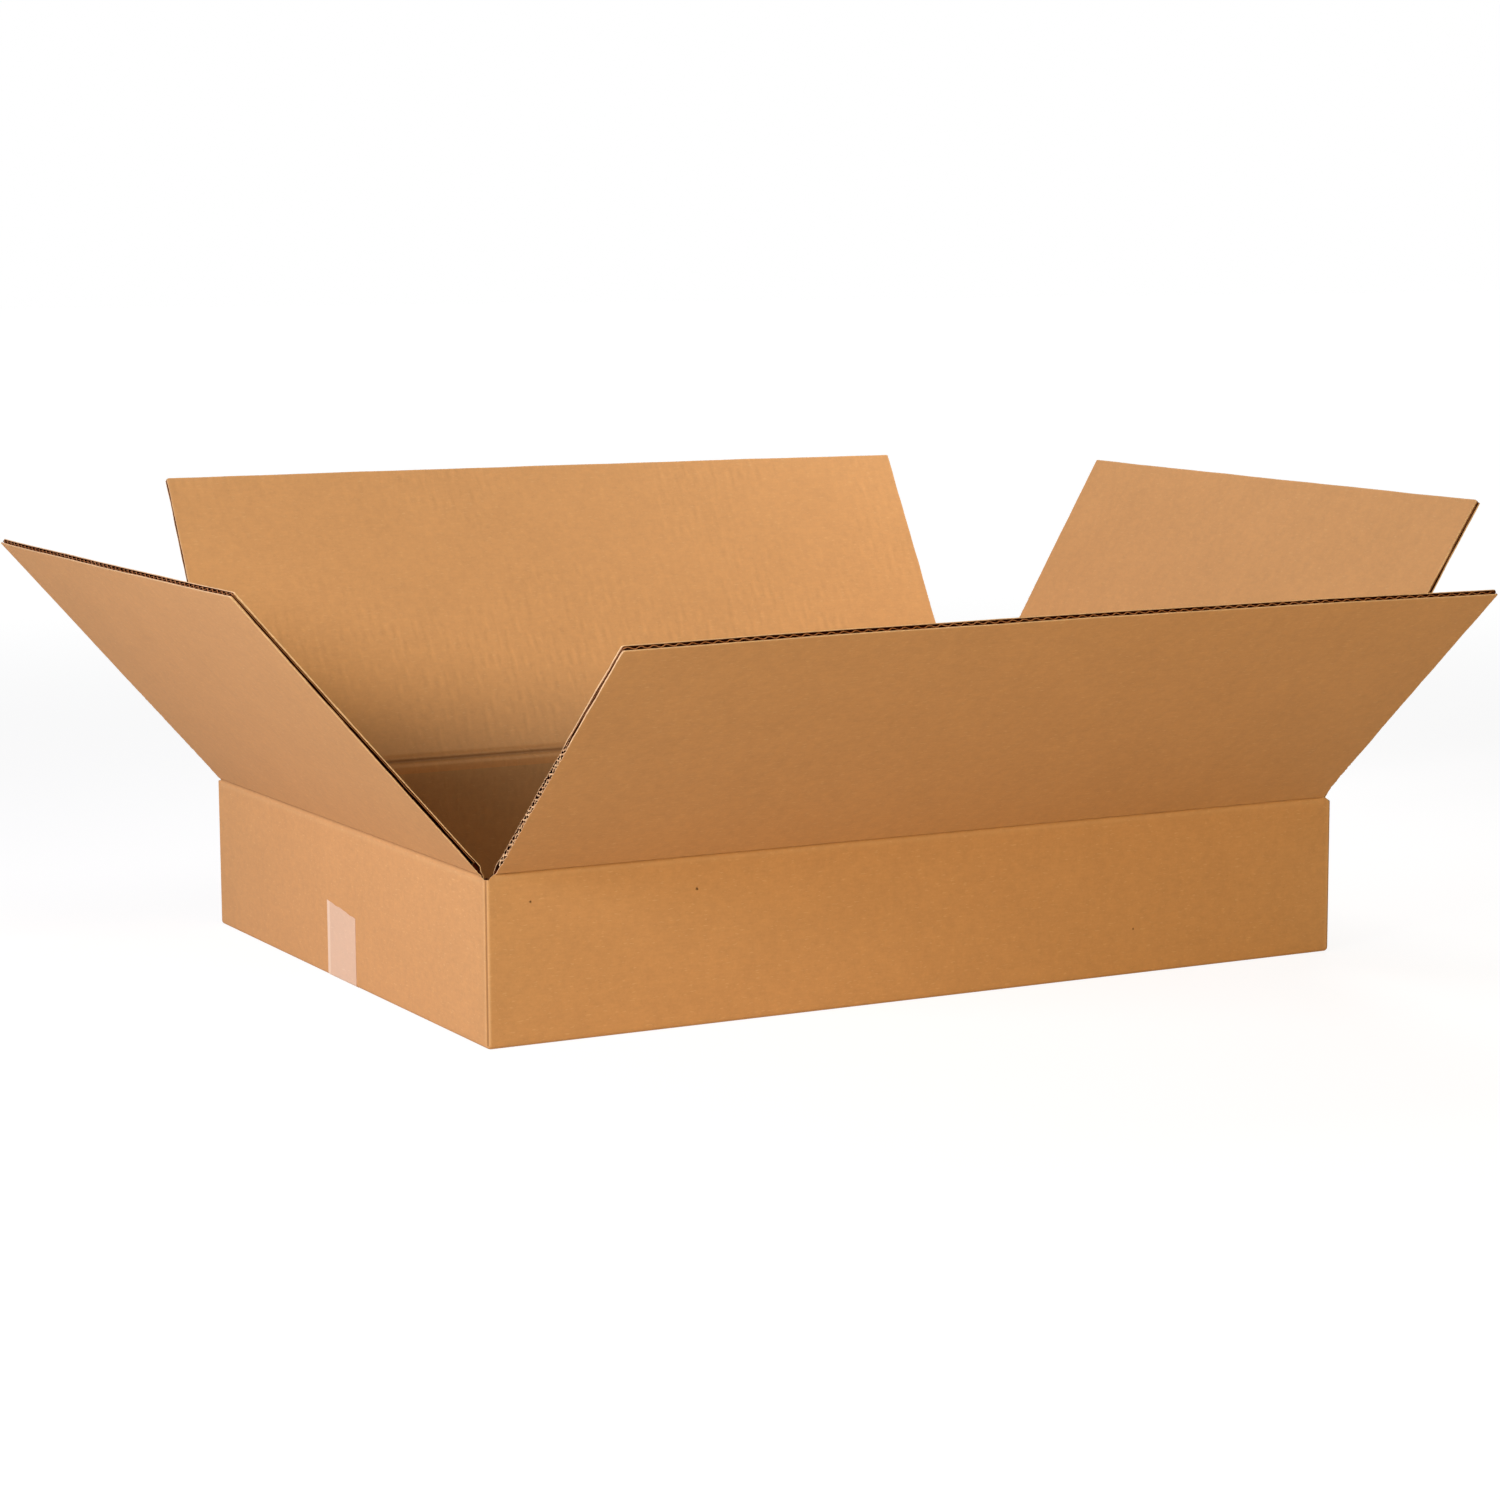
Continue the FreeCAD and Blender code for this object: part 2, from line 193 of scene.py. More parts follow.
class Wall:
    """One wall with its flap. u runs along the crease, v up the board and w out of its outside face.

    The place of u, v and w is counted from the crease's axis. The flap is turned outward by its angle.
    """

    def __init__(self, joint):
        self.body = joint["child"]
        self.node = self.body.replace("flap_", "") + "_flap"
        self.axis = np.array(joint["pos_m"], float)
        self.along = np.array(joint["axis"], float)
        self.out = np.cross(self.along, UP)
        self.angle = math.radians(OPEN_LIMIT - joint["range_deg"][1])
        self.is_long = abs(self.along[0]) > 0.5
        self.half = HALF_LENGTH if self.is_long else HALF_WIDTH
        self.depth = HALF_WIDTH if self.is_long else HALF_LENGTH
        self.outer = self.depth - float(self.axis @ self.out)
        self.inner = self.outer - BOARD
        self.half_flap = self.half - SLOT_INSET
        self.seam = SEAM_HEIGHT - self.axis[2]
        self.offset = 0.0
        self.warp = WARPS[self.body]

    def flat(self, u, v, w):
        return np.stack(np.broadcast_arrays(u + self.offset, v + self.axis[2], w), -1)

    def place(self, u, v, w, turn=1.0):
        """Points of the board after this share of the flap's turn outward."""
        angle = self.angle * turn
        up = v * np.cos(angle) - w * np.sin(angle)
        out = v * np.sin(angle) + w * np.cos(angle)
        u, up, out = (part[..., None] for part in np.broadcast_arrays(u, up, out))
        return self.axis + self.along * u + self.out * out + UP * up

    def place_open(self, u, v, w):
        """Points of the open flap, with its warp."""
        warp = self.warp
        rise = np.clip(v, 0, None)
        share = rise / FLAP_REACH
        across = u / self.half_flap
        shift = math.tan(math.radians(warp["twist"])) * rise * (1 + warp["twist_end"] * across) / 2
        shift = shift + warp["bow"] * across ** 2 * share ** 2
        ripple = wander(u + 0.7 * rise, 0.31, 5) * 0.5 + 0.5
        shift = shift + warp["waves"] * ripple * smooth(share)
        return self.place(u + warp["lean"] * share ** 1.5, v, w + shift)

    def place_crease(self, u, v, w):
        """Points of the creased strip: straight on the wall, bent about the axis, then on the flap."""
        turn = smooth((v + BEND_HALF) / (2 * BEND_HALF))
        bent = self.place(u, v, w, turn)
        opened = self.place_open(u, v, w)
        return np.where(np.broadcast_to(v, bent.shape[:-1])[..., None] > BEND_HALF, opened, bent)


def list_walls():
    """The walls in order round the box, each with its place along the flat sheet."""
    by_body = {joint["child"]: Wall(joint) for joint in frame["joints"]}
    walls = [by_body["flap_" + side] for side in ("front", "right", "back", "left")]
    run = 0.0
    for number, wall in enumerate(walls):
        if number:
            run += walls[number - 1].half + wall.half
        half_wave = 0.0 if wall.is_long else 0.5
        wall.offset = (round(run / PITCH) + half_wave) * PITCH
    return walls


WALLS = list_walls()

# Columns beside a cut edge, counted from it
EDGE_BAND = np.array([0.0, 0.5, 1.3, 3.0]) * MM
FINE_ROW = 0.74 * MM  # height of the small rows beside a cut edge


def inner_columns(half):
    """Columns in step with the waves, between the two edge bands."""
    step = PITCH / STEPS_A_WAVE
    count = int((half - EDGE_BAND[-1] - 0.3 * step) / step)
    return np.arange(-count, count + 1) * step


def all_columns(half):
    return np.concatenate([EDGE_BAND - half, inner_columns(half), half - EDGE_BAND[::-1]])


def finer(rows):
    """The rows with small ones between them, and the place of each row among these."""
    counts = [max(1, round((high - low) / FINE_ROW)) for low, high in zip(rows, rows[1:])]
    steps = [np.linspace(low, high, count, endpoint=False)
             for low, high, count in zip(rows, rows[1:], counts)]
    return np.concatenate(steps + [rows[-1:]]), np.cumsum([0] + counts)


# The looks that a board's mesh may hold, as numbers of its material slots. CELL and DEEP are dark papers of
# painted shade in the cells and hollows
FACE, INSIDE, CUT, CELL, DEEP = 0, 1, 2, 3, 4


def add_layer(sheets, place, flat, half, rows, surfaces, cut_side, cut_end):
    """One of the board's three sheets: two surfaces, closed along the cut edges.

    place and flat turn u, v and w into points. surfaces has two rows of a function of u and v that gives w,
    a look, and a function of u and v that gives the tone. cut_side(side, v) and cut_end(u) say how far the
    ragged edges lie back.
    """
    fine, starts = finer(rows)
    main = inner_columns(half)
    rims = []
    for surface, look, tone in surfaces:
        blocks = []
        for side, columns, lines in ((-1, EDGE_BAND - half, fine), (0, main, rows),
                                     (1, half - EDGE_BAND[::-1], fine)):
            u, v = np.meshgrid(columns, lines)
            w = surface(u, v)
            if side:
                edge = np.clip(1 - (half - np.abs(u)) / BURR_WIDTH, 0, 1)
                u = u - side * edge * cut_side(side, v)
            is_end = v > rows[-1] - 0.01 * MM
            v = np.where(is_end, v - cut_end(u), v)
            numbers = sheets.add_points(place(u, v, w), flat(u, v, w), tone(u, v))
            sheets.add_faces(numbers, look)
            blocks.append(numbers)
        left, middle, right = blocks
        for row in range(len(rows) - 1):
            span = slice(starts[row], starts[row + 1] + 1)
            sheets.add_polygon([middle[row, 0], *left[span, -1], middle[row + 1, 0]], look)
            sheets.add_polygon([middle[row, -1], *right[span, 0], middle[row + 1, -1]], look)
        rims.append(np.concatenate([left[0], middle[0], right[0], right[1:, -1], right[-1, -2::-1],
                                    middle[-1, ::-1], left[-1, ::-1], left[-2:0:-1, 0], left[0, :1]]))
    rims = np.stack(rims)
    root = 2 * len(EDGE_BAND) + len(main)
    # the rim along the first row gets the dark paper of painted shade
    sheets.add_faces(rims[:, :root], DEEP)
    sheets.add_faces(rims[:, root - 1:], CUT)


def wave(u, offset):
    """The middle sheet's height over the middle of the board, from -1 to 1."""
    return np.cos(math.tau * (u + offset) / PITCH)


def relief_out(u, offset, half):
    """How far the outside sheet sinks between the wave's crests, nothing beside the board's ends."""
    return RELIEF_OUT * (wave(u, offset) - 1) * smooth((half - np.abs(u)) / (4 * MM))


def relief_in(u, offset, half):
    """The same for the inside sheet, which lies on the wave's other crests."""
    return -RELIEF_IN * (wave(u, offset + PITCH / 2) - 1) * smooth((half - np.abs(u)) / (4 * MM))


def add_board(sheets, place, flat, half, rows, outer, offset, seed, crumbled=None, thickness=BOARD,
              wave_from=0):
    """A piece of corrugated board with its outside face at w = outer and its free edge at the last row.

    crumbled(side, v) is 0 where a side edge shows an open flute and 1 where it is crushed and torn.
    wave_from is the row where the middle sheet starts.
    """
    middle = outer - thickness / 2
    swing = thickness / 2 - LINER - MEDIUM / 2 - GLUE_GAP
    reach = rows[-1]
    random = np.random.default_rng(seed)
    fray_end = random.uniform(0, 1, FRAYS)
    fray_side = random.uniform(0, 1, FRAYS)

    def crush(side, v):
        return crumbled(side, v) if crumbled else 0.0 * v

    def end_cut(amount, shift, pulled=0.0):
        def cut(u):
            numbers = (np.round((u + half) / MM * 1.3).astype(int) * 7 + shift) % FRAYS
            blunt = 1.1 * MM * np.clip(1 - (half - np.abs(u)) / (1.6 * MM), 0, 1) ** 2
            lies_back = pulled * smooth(0.6 + 1.3 * wander(u, 0.11, seed + 6))
            even = 0.12 * MM * (1 + wander(u, 0.083, seed + shift))
            return amount * fray_end[numbers] + even + blunt + lies_back
        return cut

    def side_cut(amount, shift):
        def cut(side, v):
            numbers = (np.round(v / MM * 1.7).astype(int) * 5 + shift * (2 + side)) % FRAYS
            torn = amount * (0.4 + 1.6 * crush(side, v)) * fray_side[numbers]
            slow = 0.2 * MM * (1 + wander(v, 0.047, seed + shift + side))
            return (torn + slow) * smooth((v - rows[0]) / (4 * MM))
        return cut

    def near_edge(u):
        return smooth(1 - (half - np.abs(u)) / (3.2 * MM))

    def flare(u, v, seed_shift):
        """Torn flat sheets stand up or are pressed in beside a cut edge."""
        side = np.sign(u)
        loose = (wander(v, 0.013, seed + seed_shift) * 0.10 * MM
                 + wander(v, 0.0041, seed + seed_shift + 1) * 0.08 * MM)
        return near_edge(u) ** 2 * loose * (0.6 + crush(side, v)) * smooth((v - rows[0]) / (5 * MM))

    def outer_face(u, v):
        return outer + relief_out(u, offset, half) - np.abs(flare(u, v, 11))

    def burr(u, v):
        """How much thicker a flat sheet is at its cut edges."""
        from_crease = smooth((v - rows[0]) / (5 * MM))
        size = BURR_SIDE[0] + (BURR_SIDE[1] - BURR_SIDE[0]) * smooth(v / reach)
        size = size + 0.15 * MM * wander(v, 0.05, seed + 7)
        beside_slot = size * smooth(1 - (half - np.abs(u)) / BURR_WIDTH) * (1 - crush(np.sign(u), v))
        return from_crease * np.maximum(BURR_END * smooth(1 - (reach - v) / BURR_WIDTH), beside_slot)

    def outer_back(u, v):
        return outer_face(u, v) - LINER - burr(u, v)

    def inner_face(u, v):
        return outer - thickness + relief_in(u, offset, half) + np.abs(flare(u, v, 17))

    def inner_back(u, v):
        return inner_face(u, v) + LINER + burr(u, v)

    def swollen(v):
        """How far the middle sheet's cut end stands out on each of its sides."""
        return WAVE_BURR / 2 * smooth(1 - (reach - v) / (1.0 * MM))

    def wave_middle(u, v):
        """Even waves, pressed flat at the side edges and torn to and fro low down on them."""
        side = np.sign(u)
        torn = 0.9 * np.sin(math.tau * v / TOOTH + 2.2 * wander(v, 0.027, seed + 3))
        calm = -0.62 + 0.25 * wander(v, 0.034, seed + 4)
        crushed = crush(side, v)
        at_edge = (calm + (torn - calm) * crushed) * (1 - crushed * CRUSHED_EXTRA / 2 / swing)
        share = near_edge(u)
        height = swing - 1.3 * burr(u, v) - swollen(v)
        return middle + height * (wave(u, offset) * (1 - share) + at_edge * share)

    def in_cells(u, v):
        """The tone in the open cells: painted shade, dark at their mouths and darkest further in."""
        deep = np.minimum(reach - v, half - np.abs(u))
        return -0.85 - 0.15 * smooth(deep / (1.2 * MM))

    def on_wave(u, v):
        """The same painted shade on the middle sheet, with less of it where the sheet is torn out."""
        torn_out = crush(np.sign(u), v) * smooth(1 - (half - np.abs(u)) / (2 * MM))
        return in_cells(u, v) * (1 - 0.95 * torn_out)

    def scuffed(u, v):
        """The tone of the faces, paler just beside a cut edge."""
        deep = np.minimum(reach - v, half - np.abs(u))
        return SCUFF * smooth(1 - deep / (1.3 * MM)) * smooth((v - rows[0]) / (5 * MM))

    def wave_half(u, v):
        return MEDIUM / 2 + CRUSHED_EXTRA / 2 * crush(np.sign(u), v) * near_edge(u) ** 2 + swollen(v)

    def wave_front(u, v):
        return wave_middle(u, v) + wave_half(u, v)

    def wave_back(u, v):
        return wave_middle(u, v) - wave_half(u, v)

    add_layer(sheets, place, flat, half, rows,
              ((outer_face, FACE, scuffed), (outer_back, CELL, in_cells)),
              side_cut(ROUGHNESS, 1), end_cut(FRAY_END, 1))
    add_layer(sheets, place, flat, half, rows,
              ((inner_face, INSIDE, scuffed), (inner_back, CELL, in_cells)),
              side_cut(ROUGHNESS, 2), end_cut(FRAY_END, 2))
    add_layer(sheets, place, flat, half, rows[wave_from:],
              ((wave_front, CELL, on_wave), (wave_back, CELL, on_wave)),
              side_cut(1.6 * ROUGHNESS, 3), end_cut(2 * FRAY_END, 3, WAVE_BACK))


def settle(piece, body, node):
    """Hangs the piece on the body that it moves with and hides the solid that it stands for."""
    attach(piece, body)
    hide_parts(node)


# Flaps
FLAP_ROWS = np.concatenate([np.linspace(CREASE_UP, FLAP_REACH - 8 * MM, 13),
                            FLAP_REACH - np.array([4.0, 1.2, 0.0]) * MM])

# How much of each side edge is crushed, from the crease up, at the low and the high end of u
TORN_SHARES = {"flap_front": (0.58, 0.2), "flap_back": (0.3, 0.45),
               "flap_left": (0.4, -0.1), "flap_right": (-0.1, 0.5)}


def make_flap(wall, seed):
    """One open flap: flat sheets and wave at full size, cut edges frayed as a slotted edge is."""
    torn_low, torn_high = TORN_SHARES[wall.body]

    def crumbled(side, v):
        torn_height = np.where(side < 0, torn_low, torn_high) * FLAP_REACH
        return 1 - smooth((v - torn_height) / (24 * MM) + 0.5)

    sheets = Sheets()
    add_board(sheets, wall.place_open, wall.flat, wall.half_flap, FLAP_ROWS, wall.outer, wall.offset, seed,
              crumbled=crumbled)
    flap = sheets.build(wall.node + "_board", BOARD_LOOKS)
    settle(flap, wall.body, wall.node)


def crease_profile(wall, u, s):
    """Outside and inside of the crushed board at distance s from the crease's axis, above 0 on the flap."""
    from_end = wall.half_flap - np.abs(u)
    dent = np.exp(-(s / (0.75 * MM)) ** 2) * (0.25 + 0.75 * smooth(from_end / (4 * MM)))
    shoulder = np.exp(-((np.abs(s) - 2.6 * MM) / (1.1 * MM)) ** 2)
    ramp = 1 - smooth((np.abs(s) - 1.0 * MM) / (4.2 * MM))
    outer_dent = 0.55 * MM if wall.is_long else 0.45 * MM
    inner_squeeze = 0.9 * MM if wall.is_long else 2.1 * MM
    outer = wall.outer - outer_dent * dent + 0.10 * MM * shoulder
    inner = wall.inner + inner_squeeze * ramp + 0.45 * MM * dent
    return outer, inner


def crease_tone(s, is_outside):
    """Painted shade in the crease, and a band of painted highlight on the wall just below it."""
    depth, width = (0.36, 0.8 * MM) if is_outside else (0.6, 1.3 * MM)
    dark = -depth * np.exp(-(s / width) ** 2)
    pale = 0.12 * np.exp(-((s + 3.2 * MM) / (1.5 * MM)) ** 2)
    return dark + pale


def add_strip_side(sheets, wall, side, rows):
    """The cut side of a creased strip: two edges with a hollow between them, painted dark as shade, shut at
    the crease.
    """
    outer, inner = crease_profile(wall, np.full(len(rows), wall.half_flap), rows)
    hollow = smooth((rows - 0.6 * MM) / (3.0 * MM))
    edge = np.minimum(LINER, (outer - inner) / 3)
    depth = 2.2 * MM * hollow
    lip = 0.12 * MM * hollow
    profile = [(outer, 0.0), (outer - edge, 0.0), (outer - edge - lip, depth),
               (inner + edge + lip, depth), (inner + edge, 0.0), (inner, 0.0)]
    points, flats = [], []
    for w, back in profile:
        u = side * (wall.half_flap - back)
        points.append(wall.place_crease(u, rows, w))
        flats.append(wall.flat(u, rows, w))
    tones = np.array([0.0, -0.3, -0.95, -0.95, -0.3, 0.0])[:, None]
    numbers = sheets.add_points(np.stack(points), np.stack(flats), tones)
    for row, look in enumerate((CUT, DEEP, DEEP, DEEP, CUT)):
        sheets.add_faces(numbers[row:row + 2], look)


def make_crease(wall):
    """The creased strip between a wall and its flap, bent to the flap's open pose."""
    columns = all_columns(wall.half_flap)
    near = np.concatenate([np.arange(-5.0, 5.01, 0.5), [6.5]]) * MM
    rows = np.concatenate([[wall.seam, (wall.seam - 5 * MM) / 2 - 0.3 * MM], near, [CREASE_UP]])
    u, s = np.meshgrid(columns, rows)
    outer, inner = crease_profile(wall, u, s)
    blend_in = smooth((np.abs(s) - 4.5 * MM) / (2 * MM))
    outer = outer + relief_out(u, wall.offset, wall.half_flap) * blend_in
    inner = inner + relief_in(u, wall.offset, wall.half_flap) * blend_in
    sheets = Sheets()
    skins = []
    for w, look in ((outer, FACE), (inner, INSIDE)):
        tone = crease_tone(s, look == FACE)
        skins.append(sheets.add_grid(wall.place_crease(u, s, w), wall.flat(u, s, w), look, tone))
    for row in (0, -1):
        # the strip's two ends are shut with the dark paper of painted shade
        sheets.add_faces(np.stack([skin[row] for skin in skins]), DEEP)
    for side in (-1, 1):
        add_strip_side(sheets, wall, side, rows)
    strip = sheets.build(wall.node.replace("_flap", "_crease"), BOARD_LOOKS)
    start = wall.place(0.0, -TURN_HALF, 0.0, 0.0)
    end = wall.place(0.0, TURN_HALF, 0.0)
    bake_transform(strip)


# Walls
CORNER_STEPS = 12
CORNER_BESIDE = 2  # points on each side of a corner's arc
INNER_RADIUS = 0.4 * MM  # of the corners inside the box
WALL_HEIGHTS = np.array([2.5, 5, 9, 20, 35, 50, 65, 80, 90, 96.7]) * MM
FOLD_STEPS = 5


def corner_path(inset, radius):
    """Points round a corner as distances back along one wall and on along the next."""
    turn = np.linspace(0, math.pi / 2, CORNER_STEPS + 1)
    beside = np.linspace(SLOT_INSET, inset + radius, CORNER_BESIDE + 1)[:-1]
    at_inset = np.full(CORNER_BESIDE, inset)
    back = np.concatenate([beside, inset + radius * (1 - np.sin(turn)), at_inset])
    on = np.concatenate([at_inset, inset + radius * (1 - np.cos(turn)), beside[::-1]])
    return back, on


def corner_dent():
    """How far the upright corner crease is pressed in, and its tone along a corner's path: painted shade in
    the crease and painted highlights beside it.
    """
    from_line = np.linspace(-1, 1, CORNER_STEPS + 1) + 0.2
    beside = np.zeros(CORNER_BESIDE)
    dent = 0.35 * MM * np.exp(-(from_line / 0.2) ** 2)
    dent = dent - 0.12 * MM * np.exp(-((np.abs(from_line) - 0.5) / 0.2) ** 2)
    tone = 0.3 * np.exp(-((np.abs(from_line) - 0.6) / 0.25) ** 2) - 0.62 * np.exp(-(from_line / 0.3) ** 2)
    return np.concatenate([beside, dent, beside]), np.concatenate([beside, tone, beside])


def corner_run(wall, following, back, on):
    """Places along the flat sheet round a corner, in step with the wall before it and the wall after it."""
    before = wall.offset + wall.half - back + on
    after = following.offset - following.half - back + on
    return np.where(np.arange(len(back)) < len(back) // 2, before, after)


def wall_ring(inset, height, radius, dented=False):
    """A line round the box at this inset from its outside: points, places on the flat sheet and tones."""
    points, flats, tones = [], [], []
    dents, dent_tones = corner_dent()
    for number, wall in enumerate(WALLS):
        u = all_columns(wall.half_flap)
        w = np.full(len(u), wall.outer - inset)
        sink = relief_out if inset < BOARD / 2 else relief_in
        w = w + sink(u, wall.offset, wall.half_flap)
        v = np.full(len(u), height - wall.axis[2])
        points.append(wall.place(u, v, w, 0.0))
        flats.append(wall.flat(u, v, w))
        tones.append(np.zeros(len(u)))
        following = WALLS[(number + 1) % 4]
        back, on = corner_path(inset, radius)
        if dented:
            middle = inset + radius
            share_back, share_on = (middle - back) / radius, (middle - on) / radius
            back = back + share_back * dents
            on = on + share_on * dents
        corner = wall.along * wall.half + wall.out * wall.depth
        spot = corner - np.outer(back, wall.along) + np.outer(on, following.along) + UP * height
        run = corner_run(wall, following, back, on)
        points.append(spot)
        flats.append(np.stack([run, np.full(len(run), height), np.full(len(run), -inset)], -1))
        tones.append(dent_tones if dented else np.zeros(len(run)))
    return np.concatenate(points), np.concatenate(flats), np.concatenate(tones)


def close_ring(numbers):
    return np.concatenate([numbers, numbers[:, :1]], 1)


def make_walls():
    """Four walls in one run of board, folded at the upright corners and round the bottom."""
    sheets = Sheets()
    rings = []
    for height in WALL_HEIGHTS[::-1]:
        rings.append(wall_ring(0.0, height, CORNER_RADIUS, True))
    for turn in np.linspace(0, math.pi / 2, FOLD_STEPS + 1)[1:]:
        inset = FOLD_RADIUS * (1 - math.cos(turn))
        height = FOLD_RADIUS * (1 - math.sin(turn))
        rings.append(wall_ring(inset, height, CORNER_RADIUS - inset))
    rings.append(wall_ring(FOLD_STRIP, 0.0, INNER_RADIUS))
    rings.append(wall_ring(FOLD_STRIP, BOARD, INNER_RADIUS))
    for height in np.concatenate([[BOARD], WALL_HEIGHTS[2:]]):
        rings.append(wall_ring(BOARD, height, INNER_RADIUS))
    points, flats, tones = (np.stack(part) for part in zip(*rings))
    at_ends = np.abs(points[..., 0]) > HALF_LENGTH - 2 * FOLD_STRIP
    in_bed = at_ends & (np.abs(points[..., 1]) < TAPE_BED_HALF)
    points[..., 2] = np.where(in_bed, np.maximum(points[..., 2], TAPE_BED), points[..., 2])
    numbers = close_ring(sheets.add_points(points, flats, tones))
    first_inside = len(WALL_HEIGHTS) + FOLD_STEPS + 1
    sheets.add_faces(numbers[:first_inside + 1], FACE)
    sheets.add_faces(numbers[first_inside:], INSIDE)
    start = 0
    for wall in WALLS:
        count = len(all_columns(wall.half_flap))
        span = slice(start, start + count)
        sheets.add_faces(np.stack([numbers[-1, span], numbers[0, span]]), CUT)
        start += count + CORNER_STEPS + 1 + 2 * CORNER_BESIDE
    add_pillars(sheets)
    settle(sheets.build("box_walls", BOX_LOOKS), "box", "box_body")


def add_pillars(sheets):
    """The corners above the walls' seam, up to the rounded floor of each slot."""
    outer_back, outer_on = corner_path(0.0, CORNER_RADIUS)
    inner_back, inner_on = corner_path(BOARD, INNER_RADIUS)
    dents, dent_tones = corner_dent()
    share_back = np.clip((CORNER_RADIUS - outer_back) / CORNER_RADIUS, 0, 1)
    share_on = np.clip((CORNER_RADIUS - outer_on) / CORNER_RADIUS, 0, 1)
    outer_back = outer_back + share_back * dents
    outer_on = outer_on + share_on * dents
    steps = np.array([0.0, LINER, LINER, BOARD / 2, BOARD - LINER, BOARD - LINER, BOARD]) / BOARD
    sunk = np.array([0.0, 0.0, 0.7, 1.1, 1.0, 0.6, 0.6]) * MM
    heights = np.array([SEAM_HEIGHT, SLOT_FLOOR - 2.5 * MM, SLOT_FLOOR - 1.2 * MM])
    path = np.linspace(-1, 1, len(outer_back))
    for number, wall in enumerate(WALLS):
        following = WALLS[(number + 1) % 4]
        corner = wall.along * wall.half + wall.out * wall.depth
        jitter = 0.04 * MM * wander(path, 0.9, 40 + number)
        rise = np.where(path < 0, wall.axis[2], following.axis[2]) - SLOT_FLOOR - 0.5 * MM
        slot_curve = smooth((np.abs(path) - 0.5) / 0.5) ** 1.5
        top = SLOT_FLOOR - 0.5 * MM + (rise + 0.5 * MM) * slot_curve + jitter * (1 - np.abs(path))

        def points_at(share, height):
            back = outer_back + (inner_back - outer_back) * share
            on = outer_on + (inner_on - outer_on) * share
            spot = corner - np.outer(back, wall.along) + np.outer(on, following.along)
            spot[:, 2] = height
            run = corner_run(wall, following, back, on)
            flat = np.stack([run, np.broadcast_to(height, run.shape), np.full(len(run), -share * BOARD)], -1)
            return spot, flat

        outer_rows = [points_at(0.0, np.minimum(height, top)) for height in heights]
        cap_rows = [points_at(share, top - sink) for share, sink in zip(steps, sunk)]
        inner_rows = [points_at(1.0, np.minimum(height, top)) for height in heights[::-1]]
        faces = []
        # painted shade in the sunk cap at the floor of each slot
        cap_tones = np.array([0.0, -0.3, -0.95, -0.95, -0.95, -0.3, 0.0])[:, None]
        for rows, look, tone in ((outer_rows + cap_rows[:1], FACE, dent_tones), (cap_rows, DEEP, cap_tones),
                                 (cap_rows[-1:] + inner_rows, INSIDE, 0.0)):
            points = np.stack([row[0] for row in rows])
            flats = np.stack([row[1] for row in rows])
            numbers = sheets.add_points(points, flats, tone)
            edge = 1 if look == DEEP else 0
            sheets.add_faces(numbers[:edge + 1], CUT)
            sheets.add_faces(numbers[edge:], look)
            faces.append(numbers)
        for end in (0, -1):
            sheets.add_polygon([*faces[0][:, end], *faces[1][1:, end], *faces[2][1:, end]], CUT)


# Bottom, at a part of the flat sheet that no wall or flap has
BOTTOM_ON_SHEET = -0.4


def add_slab(sheets, outline, low, high, offset):
    """A closed outline across the box, run straight along the box from low to high.

    The last but one side of the outline has the inside paper. offset is a place on the flat sheet.
    """
    outline = np.array(outline + outline[:1], float)
    steps = np.linspace(low, high, 9)
    points = np.zeros((len(steps), len(outline), 3))
    points[..., 0] = steps[:, None]
    points[..., 1:] = outline
    flat = points + np.array([offset, BOTTOM_ON_SHEET, 0.0])
    numbers = sheets.add_points(points, flat)
    sheets.add_faces(numbers[:, :-2], FACE)
    sheets.add_faces(numbers[:, -3:-1], INSIDE)
    sheets.add_faces(numbers[:, -2:], FACE)
    for row in (numbers[0], numbers[-1]):
        sheets.add_polygon(row[:-1][::-1], CUT)


def make_bottom():
    """Long bottom flaps meeting under the box, and the end ones lying on them inside."""
    sheets = Sheets()
    edge = HALF_WIDTH - FOLD_STRIP
    seam = MEETING_GAP / 2
    for side in (-1, 1):
        outline = [(side * edge, 0.0), (side * TAPE_BED_HALF, 0.0),
                   (side * (TAPE_BED_HALF - 0.2 * MM), TAPE_BED),
                   (side * (seam + 0.1 * MM), TAPE_BED), (side * seam, TAPE_BED + 0.1 * MM),
                   (side * seam, BOARD - 0.1 * MM), (side * (seam + 0.15 * MM), BOARD), (side * edge, BOARD)]
        half = HALF_LENGTH - SLOT_INSET
        add_slab(sheets, outline, -half, half, 0.11 * side)
    settle(sheets.build("bottom_long_flaps", BOX_LOOKS), "box", "box_body")

    root = HALF_LENGTH - BOARD
    reach = root - (HALF_LENGTH - FLAP_REACH)
    rows = np.concatenate([[0.0, 1.5 * MM], np.linspace(5 * MM, reach - 25 * MM, 4),
                           reach - np.array([14.0, 5.0, 1.2, 0.0]) * MM])
    for wall in WALLS:
        if wall.is_long:
            continue
        sheets = Sheets()

        def place(u, v, w, wall=wall):
            u, v, w = (part[..., None] for part in np.broadcast_arrays(u, v, w))
            return wall.along * u + wall.out * (root - v) + UP * (BOARD - w)

        def flat(u, v, w, wall=wall):
            return np.stack(np.broadcast_arrays(u + wall.offset, -v, w), -1)

        add_board(sheets, place, flat, HALF_WIDTH - SLOT_INSET, rows, 0.0, wall.offset, 70, wave_from=6)
        settle(sheets.build("bottom_" + wall.node, BOX_LOOKS), "box", "box_body")


TAB_ON_SHEET = 3.1  # where the glue tab lies on the flat sheet


